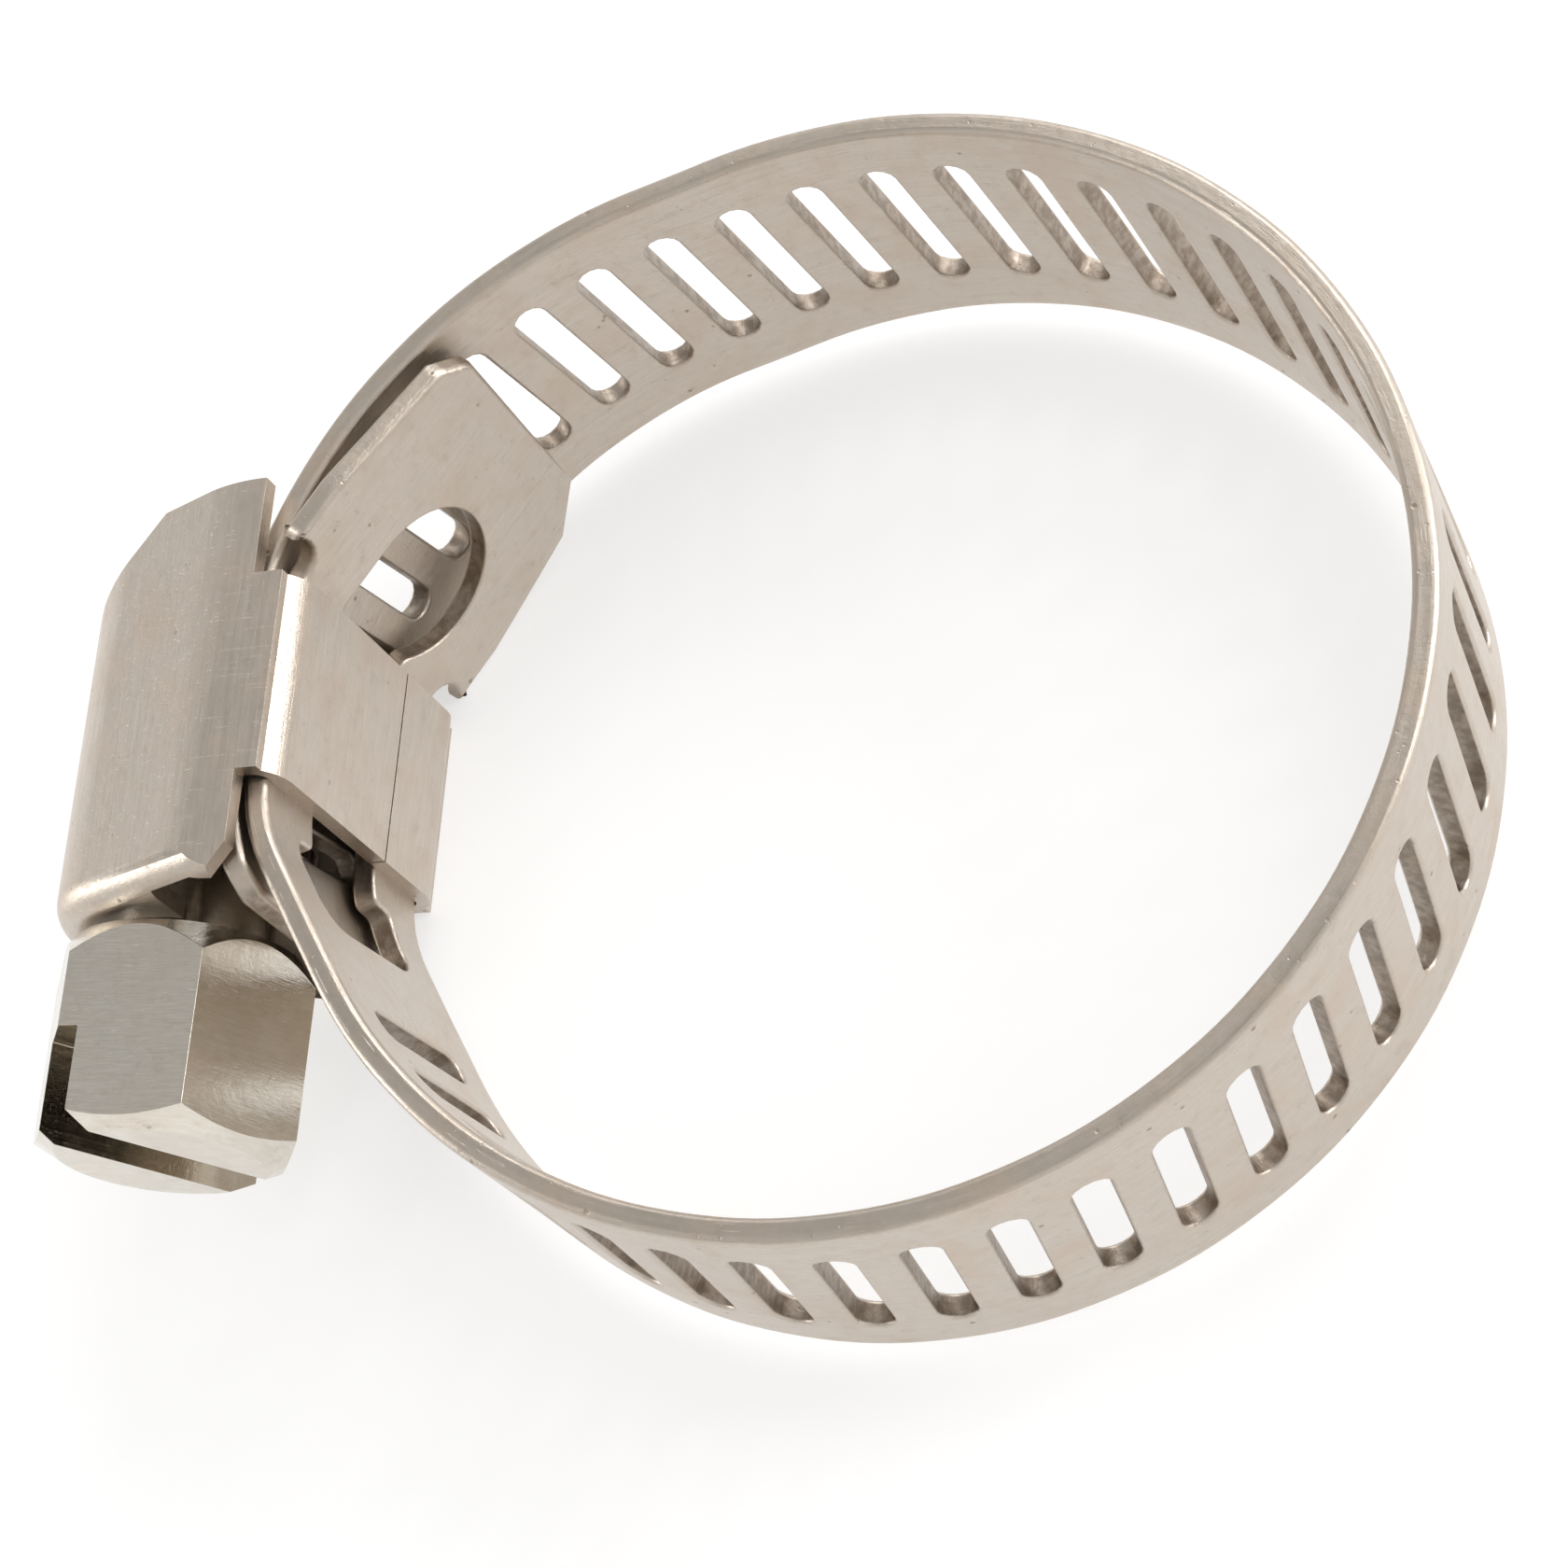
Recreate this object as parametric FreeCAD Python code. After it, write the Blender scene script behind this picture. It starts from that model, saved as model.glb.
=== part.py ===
import FreeCAD, Part
import math
import os

# Miniature worm-drive hose clamp, all stainless steel. Millimetres.
# Origin: centre of the bore, at the middle of the band's width. +Z runs along
# the bore. The housing sits on the -X side, the screw lies nearly along Y and
# its hex head points to -Y. Angles (phi) are counted from +X towards +Y.

V = FreeCAD.Vector
DEG = math.pi / 180.0

# ---- driving dimensions ----
BAND_W = 8.0            # width of the strip
BAND_T = 0.60           # thickness of the strip
R_IN = 13.00            # bore radius, the inner face of the band
SLOT_PITCH = 1.88       # slot spacing along the middle of the strip
SLOT_LEN = 5.0          # slot end to end
SLOT_WID = 0.88         # slot width
SLOT_SLANT = 7.0        # lean of the slots, degrees, equal to the worm's lead

SHEET = 0.45            # sheet of the housing
STRAP_X = -12.92        # bore side of the strap that wraps the band
STRAP_Y0, STRAP_Y1 = -2.10, 2.90
SEAM_Z, SEAM_GAP = -1.30, 0.06
WALL_Z = 4.20           # inner face of the housing's side walls
WALL_X = -13.30         # where the side walls end, towards the bore
EAR_X = -14.06           # the same, beside the tongue
LEG_X = -13.85           # the same, beside the strap on the head's side
FOLD_R = 1.10           # outside radius of the strap's fold

BASE_X = -13.39         # inner face of the fixed band where it lies flat
P1 = (BASE_X, 3.15)     # bend between the flat and the tongue
P2 = (BASE_X, -3.00)    # bend between the flat and the run to the loop
BEND_1, BEND_2 = 0.8, 4.0
TONGUE_R = 12.91        # the tongue's inner face is tangent to this radius
TONGUE_TIP_PHI = 138.2
WINDOW_HALF = 1.60      # half width of the window under the worm
KEYHOLE_R = 2.05
KEYHOLE_Z = -0.45
EAR = 0.55               # how far the tongue's shoulders stand out past the strip's edges
KEYHOLE_S = 2.05        # centre of the round end, along the tongue from P1

ARC_C = (-2.083, 0.101)  # centre of the free end's own curve
ARC_R = 12.325           # its inner radius
TAIL_PHI = 203.0         # the tail's end, about ARC_C
HINGE_TOP = 93.3         # where the loop's flexing is gathered: webs between
HINGE_BOTTOM = 266.9     # two slots, at the top and at the bottom of the loop
SLOT_TOP = 89.55          # a slot's place on the loop, which sets the whole row
SLIT = 0.03              # gap between the stretches of the band

TILT = 0.0               # the screw's lean, head away from the band
MAJOR_R = 2.75           # worm thread
MINOR_R = 1.95
BITE = 0.60              # depth of the thread in the band
CREST_W = 0.34
FLANK = 12.0
HEAD_AF = 5.80
HEAD_S0, HEAD_LEN = -4.95, 5.05
DRIVE_W, DRIVE_D = 1.60, 2.40
HEX_PHASE = 54.0
DRIVE_PHASE = -59.0
BARREL_IN = MAJOR_R + 0.08
BARREL_OUT = BARREL_IN + SHEET
BARREL_S0, BARREL_S1 = -4.70, 5.30
NECK_HOLE_R = MINOR_R + 0.22
ROOF_S = 3.15            # where the barrel's roof starts to slope down

os.makedirs("parts", exist_ok=True)


def pol(r, deg, c=(0.0, 0.0)):
    return (c[0] + r * math.cos(deg * DEG), c[1] + r * math.sin(deg * DEG))


# ---- the strip's path, counter-clockwise, as lines and arcs of its inner face ----
# each piece: ("line", start, end) or ("arc", centre, inner radius, from, to)
def norm(x, y):
    d = math.hypot(x, y)
    return (x / d, y / d)


def fillet(P, din, dout, rho):
    ang = math.acos(max(-1, min(1, din[0] * dout[0] + din[1] * dout[1])))
    tl = rho * math.tan(ang / 2)
    a = (P[0] - din[0] * tl, P[1] - din[1] * tl)
    c = (a[0] - din[1] * rho, a[1] + din[0] * rho)
    t0 = math.degrees(math.atan2(a[1] - c[1], a[0] - c[0])) % 360
    return a, ("arc", c, rho, t0, t0 + math.degrees(ang)), (P[0] + dout[0] * tl, P[1] + dout[1] * tl)


r1 = math.hypot(*P1)
phi_t1 = math.degrees(math.atan2(P1[1], P1[0]) - math.acos(TONGUE_R / r1))
n1 = pol(1.0, phi_t1)
s_tip = TONGUE_R * math.tan((phi_t1 - TONGUE_TIP_PHI) * DEG)
TIP = (n1[0] * TONGUE_R + n1[1] * s_tip, n1[1] * TONGUE_R - n1[0] * s_tip)
d1 = norm(P1[0] - TIP[0], P1[1] - TIP[1])
r2 = math.hypot(*P2)
phi_t2 = (math.degrees(math.atan2(P2[1], P2[0])) % 360) + math.degrees(math.acos(R_IN / r2))
d3 = (-math.sin(phi_t2 * DEG), math.cos(phi_t2 * DEG))
a1, f1, b1 = fillet(P1, d1, (0.0, -1.0), BEND_1)
a2, f2, b2 = fillet(P2, (0.0, -1.0), d3, BEND_2)
phi_b, phi_h = HINGE_BOTTOM, HINGE_TOP
HB, HT = pol(R_IN, phi_b), pol(R_IN, phi_h)
# straight run that joins the loop to the free end's tighter curve
cd = math.hypot(*ARC_C)
cphi = math.degrees(math.atan2(ARC_C[1], ARC_C[0]))
phi_j = cphi - math.degrees(math.acos((R_IN - ARC_R) / cd))
half_slit = math.degrees(SLIT / 2 / R_IN)

fixed_path = [("line", TIP, a1), f1, ("line", b1, a2), f2, ("line", b2, pol(R_IN, phi_t2)),
              ("arc", (0, 0), R_IN, phi_t2, phi_b - half_slit)]
loop_path = [("arc", (0, 0), R_IN, phi_b + half_slit - 360, phi_h - half_slit)]
free_path = [("arc", (0, 0), R_IN, phi_h + half_slit, phi_j),
             ("line", pol(R_IN, phi_j), pol(ARC_R, phi_j, ARC_C)),
             ("arc", ARC_C, ARC_R, phi_j, TAIL_PHI)]


def edge_of(piece, off):
    if piece[0] == "line":
        (x0, y0), (x1, y1) = piece[1], piece[2]
        d = norm(x1 - x0, y1 - y0)
        n = (d[1] * off, -d[0] * off)
        return Part.makeLine(V(x0 + n[0], y0 + n[1], 0), V(x1 + n[0], y1 + n[1], 0))
    c, r, t0, t1 = piece[1:]
    r += off
    p = [pol(r, t, c) for t in (t0, (t0 + t1) / 2, t1)]
    return Part.Arc(*[V(q[0], q[1], 0) for q in p]).toShape()


def strip(path):
    """The strip along a path, full width, before it is perforated."""
    inner = [edge_of(p, 0.0) for p in path]
    outer = [edge_of(p, BAND_T) for p in path]
    ends = [Part.makeLine(inner[0].valueAt(inner[0].FirstParameter), outer[0].valueAt(outer[0].FirstParameter)),
            Part.makeLine(inner[-1].valueAt(inner[-1].LastParameter), outer[-1].valueAt(outer[-1].LastParameter))]
    wire = Part.Wire(Part.__sortEdges__(inner + outer + ends))
    face = Part.Face(wire)
    face.translate(V(0, 0, -BAND_W / 2))
    return face.extrude(V(0, 0, BAND_W))


def length_of(piece, off):
    if piece[0] == "line":
        return math.hypot(piece[2][0] - piece[1][0], piece[2][1] - piece[1][1])
    return (piece[2] + off) * (piece[4] - piece[3]) * DEG


def obround(length, width):
    """A slot outline in the plane of X (along the strip) and Z."""
    h, r = length / 2 - width / 2, width / 2
    e = [Part.makeLine(V(-r, 0, -h), V(-r, 0, h)),
         Part.Arc(V(-r, 0, h), V(0, 0, h + r), V(r, 0, h)).toShape(),
         Part.makeLine(V(r, 0, h), V(r, 0, -h)),
         Part.Arc(V(r, 0, -h), V(0, 0, -h - r), V(-r, 0, -h)).toShape()]
    return Part.Face(Part.Wire(e))


def slot_cutter(pos, tangent_deg):
    """A slot through the strip at pos; the strip runs along tangent_deg there."""
    f = obround(SLOT_LEN, SLOT_WID)
    # the +Z end leans forward along the strip
    f.rotate(V(0, 0, 0), V(0, 1, 0), SLOT_SLANT)
    f.translate(V(0, -1.5, 0))
    s = f.extrude(V(0, 3.2, 0))
    s.rotate(V(0, 0, 0), V(0, 0, 1), tangent_deg)
    s.translate(V(pos[0], pos[1], 0))
    return s


def at_u(path, u):
    """Point on the middle of the strip and its heading, u from the path's start."""
    for p in path:
        L = length_of(p, BAND_T / 2)
        if u <= L or p is path[-1]:
            if p[0] == "line":
                d = norm(p[2][0] - p[1][0], p[2][1] - p[1][1])
                n = (d[1] * BAND_T / 2, -d[0] * BAND_T / 2)
                return (p[1][0] + d[0] * u + n[0], p[1][1] + d[1] * u + n[1]), math.degrees(math.atan2(d[1], d[0]))
            t = p[3] + u / (p[2] + BAND_T / 2) / DEG
            return pol(p[2] + BAND_T / 2, t, p[1]), t + 90
        u -= L


# ---- slots: one even row from the tail back round to the window ----
PITCH_ANGLE = SLOT_PITCH / (ARC_R + BAND_T / 2) / DEG       # about ARC_C
RM = R_IN + BAND_T / 2
full_loop = [("arc", (0, 0), R_IN, phi_b - 360, phi_h)]
free_full = [("arc", (0, 0), R_IN, phi_h, phi_j)] + free_path[1:]
fixed_full = fixed_path[:-1] + [("arc", (0, 0), R_IN, phi_t2, phi_b)]
free_len = sum(length_of(p, BAND_T / 2) for p in free_full)
loop_len = length_of(full_loop[0], BAND_T / 2)
loop_slots = []
v = RM * (SLOT_TOP - phi_b + 360) * DEG
while v > 0:
    loop_slots.append(v)
    v -= SLOT_PITCH
free_slots = []
u = RM * (SLOT_TOP - phi_h) * DEG + SLOT_PITCH
while u < free_len - 1.3:
    free_slots.append(u)
    u += SLOT_PITCH
# the worm's place nearest the free end, and the slot nearest to it
MESH_PHI = 180.0 - TILT
u_mesh = length_of(free_full[0], BAND_T / 2) + length_of(free_full[1], BAND_T / 2) \
    + (ARC_R + BAND_T / 2) * (MESH_PHI - phi_j) * DEG
near = min(free_slots, key=lambda q: abs(q - u_mesh))
MESH_SHIFT = near - u_mesh          # along the strip, positive towards the tail
fixed_len = sum(length_of(p, BAND_T / 2) for p in fixed_path)
fixed_slots = []
w = fixed_len + v


# ---- cutters in the fixed end ----
cut_fixed = []
first_slot_phi = 214.0
while True:
    (px, py), hd = at_u(fixed_full, w)
    phi = math.degrees(math.atan2(py, px)) % 360
    if phi < first_slot_phi:
        break
    cut_fixed.append(slot_cutter((px, py), hd))
    fixed_slots.append((w, phi))
    w -= SLOT_PITCH
# the window's lower end is one more slot of the row, two pitches on
u_win = w - SLOT_PITCH
(px, py), hd = at_u(fixed_full, u_win)
cut_fixed.append(slot_cutter((px, py), hd))
WIN_PHI = math.degrees(math.atan2(py, px)) % 360
# window: from the keyhole to that slot, cut square through the flat stretch
y_lo = py + 0.15
window = Part.makeBox(3.2, 3.6 - y_lo, 2 * WINDOW_HALF, V(-15.0, y_lo, -WINDOW_HALF))
cut_fixed.append(window)
# a half-round flare beside the strap, above the window's lower end
flare = Part.makeCylinder(2.45, 4.0, V(-15.5, py + 0.75, 0), V(1, 0, 0))
flare = flare.common(Part.makeBox(6, 1.5, 6, V(-16, py - 0.1, -3)))
cut_fixed.append(flare)
# the keyhole's round end, through the tongue
t1 = (n1[1], -n1[0])
kc = (P1[0] - d1[0] * KEYHOLE_S, P1[1] - d1[1] * KEYHOLE_S)
kh = Part.makeCylinder(KEYHOLE_R, 3.0, V(kc[0] - n1[0] * 1.0, kc[1] - n1[1] * 1.0, KEYHOLE_Z), V(n1[0], n1[1], 0))
cut_fixed.append(kh)
# from the keyhole to the flat
kb = Part.makeBox(KEYHOLE_S + 0.3, 3.0, 2 * WINDOW_HALF, V(0, -1.5, -WINDOW_HALF))
kb.rotate(V(0, 0, 0), V(0, 0, 1), math.degrees(math.atan2(d1[1], d1[0])))
kb.translate(V(kc[0], kc[1], 0))
cut_fixed.append(kb)
# notches in the strip's edges that lock the strap, and the ear's relief
for sz in (1, -1):
    n = Part.makeCylinder(0.60, 3.0, V(-15.2, 3.42, sz * (BAND_W / 2 + 0.12)), V(1, 0, 0))
    cut_fixed.append(n)
# the tongue's corners
for sz in (1, -1):
    big = 1.15 if sz < 0 else 0.75
    c = Part.makeBox(3, 4, 3, V(-1.5, -2, -1.5))
    c.rotate(V(0, 0, 0), V(0, 1, 0), 45)
    c.translate(V(0, 0, sz * (BAND_W / 2)))
    # centre the square so that its edge takes big off the corner
    shift = 1.5 * math.sqrt(2) - big
    c.translate(V(-shift, 0, 0))
    c.rotate(V(0, 0, 0), V(0, 0, 1), math.degrees(math.atan2(d1[1], d1[0])))
    c.translate(V(TIP[0], TIP[1], 0))
    cut_fixed.append(c)

# the tongue's shoulders: wider than the strip beside the strap, back to its width at the tip
tongue_len = math.hypot(a1[0] - TIP[0], a1[1] - TIP[1])
ears = []
for sz in (1, -1):
    z0, z1 = sz * (BAND_W / 2 - 0.2), sz * (BAND_W / 2 + EAR)
    prof = [V(0.0, 0, z0), V(tongue_len, 0, z0), V(tongue_len, 0, z1), V(tongue_len - 1.9, 0, z1), V(0.9, 0, sz * BAND_W / 2), V(0.0, 0, sz * BAND_W / 2), V(0.0, 0, z0)]
    e = Part.Face(Part.makePolygon(prof)).extrude(V(0, -BAND_T, 0))
    e.rotate(V(0, 0, 0), V(0, 0, 1), math.degrees(math.atan2(d1[1], d1[0])))
    e.translate(V(TIP[0], TIP[1], 0))
    ears.append(e)
band_fixed = strip(fixed_path).fuse(ears).removeSplitter().cut(cut_fixed)
band_loop = strip(loop_path).cut([slot_cutter(*at_u(full_loop, q)) for q in loop_slots])
band_free = strip(free_path).cut([slot_cutter(*at_u(free_full, q)) for q in free_slots])
# the tail's corners are clipped
for sz in (1, -1):
    e = pol(ARC_R + BAND_T / 2, TAIL_PHI, ARC_C)
    c = Part.makeBox(1.6, 4, 1.6, V(-0.8, -2, -0.8))
    c.rotate(V(0, 0, 0), V(0, 1, 0), 45)
    c.translate(V(0.8 * math.sqrt(2) - 0.7, 0, sz * BAND_W / 2))
    c.rotate(V(0, 0, 0), V(0, 0, 1), TAIL_PHI + 90)
    c.translate(V(e[0], e[1], 0))
    band_free = band_free.cut(c)

# ---- screw frame: s along the screw (towards +Y), w towards the band, z up ----
A = V(math.sin(TILT * DEG), math.cos(TILT * DEG), 0)
EW = V(math.cos(TILT * DEG), -math.sin(TILT * DEG), 0)
D_AXIS = ARC_R + BAND_T - BITE + MAJOR_R
FOOT = V(ARC_C[0] - D_AXIS * EW.x, ARC_C[1] - D_AXIS * EW.y, 0)
THREAD_PITCH = (ARC_R + BAND_T - 0.25) * PITCH_ANGLE * DEG


# local frame: x = s, y = -w, z
def put(shape):
    m = FreeCAD.Matrix(A.x, -EW.x, 0, FOOT.x,
                       A.y, -EW.y, 0, FOOT.y,
                       0, 0, 1, 0,
                       0, 0, 0, 1)
    s = shape.copy()
    s.Placement = FreeCAD.Placement(m).multiply(s.Placement)
    return s


# ---- housing ----
TH = 115.4


def omega(rad, half, w_end):
    """Filled section: arc over the screw, sloping flanks, upright walls. (y = -w, z)"""
    th = TH * DEG
    n = (math.cos(th), math.sin(th))
    w_k = (rad - half * n[1]) / n[0]
    pt = lambda w_, z_: V(0, -w_, z_)
    top, bot = (rad * n[0], rad * n[1]), (rad * n[0], -rad * n[1])
    e = [Part.Arc(pt(*top), pt(-rad, 0), pt(*bot)).toShape(),
         Part.makeLine(pt(*bot), pt(w_k, -half)),
         Part.makeLine(pt(w_k, -half), pt(w_end, -half)),
         Part.makeLine(pt(w_end, -half), pt(w_end, half)),
         Part.makeLine(pt(w_end, half), pt(w_k, half)),
         Part.makeLine(pt(w_k, half), pt(*top))]
    return Part.Face(Part.Wire(Part.__sortEdges__(e)))


def extr(face, s0, s1):
    f = face.copy()
    f.translate(V(s0, 0, 0))
    return f.extrude(V(s1 - s0, 0, 0))


def roof_cut(shape, off):
    """Take off what lies beyond the sloping roof at the closed end; off moves it inwards."""
    p, q = (ROOF_S, -BARREL_OUT), (BARREL_S1, -0.25)
    d = norm(q[0] - p[0], q[1] - p[1])
    n = (d[1], -d[0])            # points away from the screw's middle
    if n[0] < 0:
        n = (-n[0], -n[1])
    o = (p[0] - n[0] * off, p[1] - n[1] * off)
    ang = math.degrees(math.atan2(d[1], d[0]))
    b = Part.makeBox(40, 20, 20, V(-20, 0, -10))      # its y = 0 face is the plane
    # local x along d, y along n
    m = FreeCAD.Matrix(d[0], n[0], 0, o[0],
                       -d[1], -n[1], 0, -o[1],
                       0, 0, 1 if (d[0] * -n[1] + n[0] * d[1]) > 0 else -1, 0,
                       0, 0, 0, 1)
    b.Placement = FreeCAD.Placement(m)
    return shape.cut(b)


outer = extr(omega(BARREL_OUT, WALL_Z + SHEET, 6.0), BARREL_S0, BARREL_S1)
outer = roof_cut(outer, 0.0)
# round the barrel's edge at the head end
try:
    eds = []
    for e in outer.Edges:
        bb = e.BoundBox
        if abs(bb.XMin - BARREL_S0) < 1e-6 and abs(bb.XMax - BARREL_S0) < 1e-6 and bb.YMin > -2.2:
            eds.append(e)
    rounded = outer.makeFillet(0.75, eds)
    if rounded.isValid() and rounded.Volume > 0:
        outer = rounded
        print("barrel end rounded", len(eds))
except Exception as ex:
    print("barrel end not rounded:", ex)
inner = extr(omega(BARREL_IN, WALL_Z, 7.0), BARREL_S0 + SHEET, BARREL_S1 + 3)
inner = roof_cut(inner, SHEET)
shell = outer.cut(inner)
# the closed end is open below the roof, where the strip comes in
hollow = extr(omega(BARREL_IN, WALL_Z, 7.0), BARREL_S0 - 2, BARREL_S1 + 3)
shell = shell.cut(hollow.common(roof_cut(Part.makeBox(12.0, 6.6, 2 * WALL_Z, V(BARREL_S1 - 2.2, -7.0, -WALL_Z)), SHEET)))
# the head end: a hole for the neck, open towards the band
shell = shell.cut(Part.makeCylinder(NECK_HOLE_R, 3, V(BARREL_S0 - 1, 0, 0), V(1, 0, 0)))
shell = shell.cut(hollow.common(Part.makeBox(3, 6.5, 2 * WALL_Z, V(BARREL_S0 - 1, -7.4, -WALL_Z))))
shell = put(shell)
# the side walls stop short of the bore
shell = shell.cut(Part.makeBox(6, 30, 12, V(WALL_X, -15, -6)))
# beside the tongue's shoulders they are cut back, to leave the shoulders room
shell = shell.cut(Part.makeBox(6, 12, 12, V(EAR_X, STRAP_Y1, -6)))
# towards the head they are cut back too, with a sloping corner
shell = shell.cut(Part.makeBox(6, 13, 12, V(LEG_X, STRAP_Y0 - 13, -6)))
corner = Part.Face(Part.makePolygon([V(LEG_X + 1, -3.2, -6), V(LEG_X, -3.9, -6), V(LEG_X - 0.9, -5.2, -6),
                                     V(LEG_X + 1, -5.2, -6), V(LEG_X + 1, -3.2, -6)])).extrude(V(0, 0, 12))
shell = shell.cut(corner)


def cee(half, x_bot, rad):
    """Filled section of the strap across the band, in X and Z."""
    x_top = -14.6
    e = [Part.makeLine(V(x_top, 0, -half), V(x_top, 0, half)),
         Part.makeLine(V(x_top, 0, half), V(x_bot - rad, 0, half)),
         Part.Arc(V(x_bot - rad, 0, half), V(x_bot - rad + rad * math.sqrt(.5), 0, half - rad + rad * math.sqrt(.5)), V(x_bot, 0, half - rad)).toShape(),
         Part.makeLine(V(x_bot, 0, half - rad), V(x_bot, 0, -half + rad)),
         Part.Arc(V(x_bot, 0, -half + rad), V(x_bot - rad + rad * math.sqrt(.5), 0, -half + rad - rad * math.sqrt(.5)), V(x_bot - rad, 0, -half)).toShape(),
         Part.makeLine(V(x_bot - rad, 0, -half), V(x_top, 0, -half))]
    return Part.Face(Part.Wire(e))


IN_FOLD = 0.30
strap_out = cee(WALL_Z + SHEET, STRAP_X, FOLD_R)
strap_out.translate(V(0, STRAP_Y0, 0))
strap_out = strap_out.extrude(V(0, STRAP_Y1 - STRAP_Y0, 0))
strap_in = cee(WALL_Z, STRAP_X - SHEET, IN_FOLD)
strap_in.translate(V(0, STRAP_Y0 - 1, 0))
strap_in = strap_in.extrude(V(0, STRAP_Y1 - STRAP_Y0 + 2, 0))
strap = strap_out.cut(strap_in)
strap = strap.cut(Part.makeBox(2, 12, SEAM_GAP, V(STRAP_X - 1.2, -6, SEAM_Z - SEAM_GAP / 2)))
housing = shell.fuse(strap).removeSplitter()

# ---- worm screw, in its own frame: x = s, y = -w, z ----
T_S0, T_S1 = -3.35, 2.85
NOSE_S = 3.35
core = Part.makeCylinder(MINOR_R, NOSE_S - HEAD_S0, V(HEAD_S0, 0, 0), V(1, 0, 0))
nose = [e for e in core.Edges if abs(e.BoundBox.XMin - NOSE_S) < 1e-6 and abs(e.BoundBox.XMax - NOSE_S) < 1e-6]
core = core.makeChamfer(0.35, nose)
turns = (T_S1 - T_S0) / THREAD_PITCH + 2.0
zlen = turns * THREAD_PITCH
helix = Part.makeHelix(THREAD_PITCH, zlen, MINOR_R)
hf = CREST_W / 2
dr = MAJOR_R - MINOR_R
hb = hf + dr * math.tan(FLANK * DEG)
sink = 0.25
hb += sink * math.tan(FLANK * DEG)
prof = Part.makePolygon([V(MINOR_R - sink, 0, -hb), V(MAJOR_R, 0, -hf), V(MAJOR_R, 0, hf),
                         V(MINOR_R - sink, 0, hb), V(MINOR_R - sink, 0, -hb)])
ridge = Part.Wire(helix).makePipeShell([prof], True, True)
ridge = Part.Solid(ridge) if ridge.ShapeType != "Solid" else ridge
if ridge.Volume < 0:
    ridge.reverse()
# the helix's axis Z becomes the screw's axis x by a cyclic turn, which keeps its hand
ridge.Placement = FreeCAD.Placement(FreeCAD.Matrix(0, 0, 1, 0, 1, 0, 0, 0, 0, 1, 0, 0, 0, 0, 0, 1))
# the profile starts on the side away from the band; half a turn puts it on the band's side
ridge.rotate(V(0, 0, 0), V(1, 0, 0), 180)
mesh_s = -MESH_SHIFT * THREAD_PITCH / SLOT_PITCH     # a tooth's middle, in the slot
n_back = math.floor((mesh_s - T_S0) / THREAD_PITCH) + 1.0
ridge.translate(V(mesh_s - n_back * THREAD_PITCH, 0, 0))
clipper = Part.makeCylinder(MAJOR_R + 1, T_S1 - T_S0, V(T_S0, 0, 0), V(1, 0, 0))
ridge = ridge.common(clipper)
hexr = HEAD_AF / 2 / math.cos(30 * DEG)
pts = []
for i in range(7):
    # angle from the band side (+w = -y) towards +z
    a = (HEX_PHASE + 60 * i) * DEG
    pts.append(V(HEAD_S0 - HEAD_LEN, -hexr * math.cos(a), hexr * math.sin(a)))
head = Part.Face(Part.makePolygon(pts)).extrude(V(HEAD_LEN, 0, 0))
# turned chamfers at both ends of the hex
h0, h1 = HEAD_S0 - HEAD_LEN, HEAD_S0
turn = Part.Face(Part.makePolygon([V(h0, 0, 0), V(h0, HEAD_AF / 2 - 0.40, 0), V(h0 + 0.50, hexr + 0.02, 0),
                                   V(h1 - 0.85, hexr + 0.02, 0), V(h1, HEAD_AF / 2 - 0.12, 0), V(h1, 0, 0), V(h0, 0, 0)]))
turn = turn.revolve(V(0, 0, 0), V(1, 0, 0), 360)
head = head.common(turn)
drive = Part.makeBox(DRIVE_D + 1, 12, DRIVE_W, V(h0 - 1, -6, -DRIVE_W / 2))
# direction in (w, z) at DRIVE_PHASE from +w towards +z
drive.rotate(V(0, 0, 0), V(1, 0, 0), -DRIVE_PHASE)
head = head.cut(drive)
screw = core.fuse([ridge, head]).removeSplitter()
screw = put(screw)

nodes = {
    "band_fixed_end": band_fixed,
    "band_loop": band_loop,
    "band_free_end": band_free,
    "housing": housing,
    "worm_screw": screw,
}
for name, shape in nodes.items():
    if shape.ShapeType != "Solid" and len(shape.Solids) == 1:
        shape = shape.Solids[0]
    if shape.Volume < 0:
        shape.reverse()
    bb = shape.BoundBox
    print(name, "solids", len(shape.Solids), "valid", shape.isValid(), "vol %.2f" % shape.Volume,
          "box [%.2f %.2f %.2f] [%.2f %.2f %.2f]" % (bb.XMin, bb.YMin, bb.ZMin, bb.XMax, bb.YMax, bb.ZMax))
    shape.exportStep("parts/%s.step" % name)
print("FOOT", FOOT, "A", A, "thread pitch %.4f" % THREAD_PITCH, "pitch angle %.4f" % PITCH_ANGLE)
print("phi_b %.2f phi_h %.2f phi_j %.2f phi_t2 %.2f" % (phi_b, phi_h, phi_j, phi_t2), "HB", HB, "HT", HT)
print("fixed slots", fixed_slots, "window slot phi %.1f" % WIN_PHI)
print("loop end webs %.2f %.2f" % (loop_slots[-1], loop_len - loop_slots[0]), "free first %.2f" % free_slots[0],
      "tail web %.2f" % (free_len - free_slots[-1]), "mesh shift %.3f" % MESH_SHIFT)
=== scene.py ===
import math

import bmesh
import bpy
import numpy as np
from mathutils import Matrix, Vector
from mathutils.geometry import delaunay_2d_cdt


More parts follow.
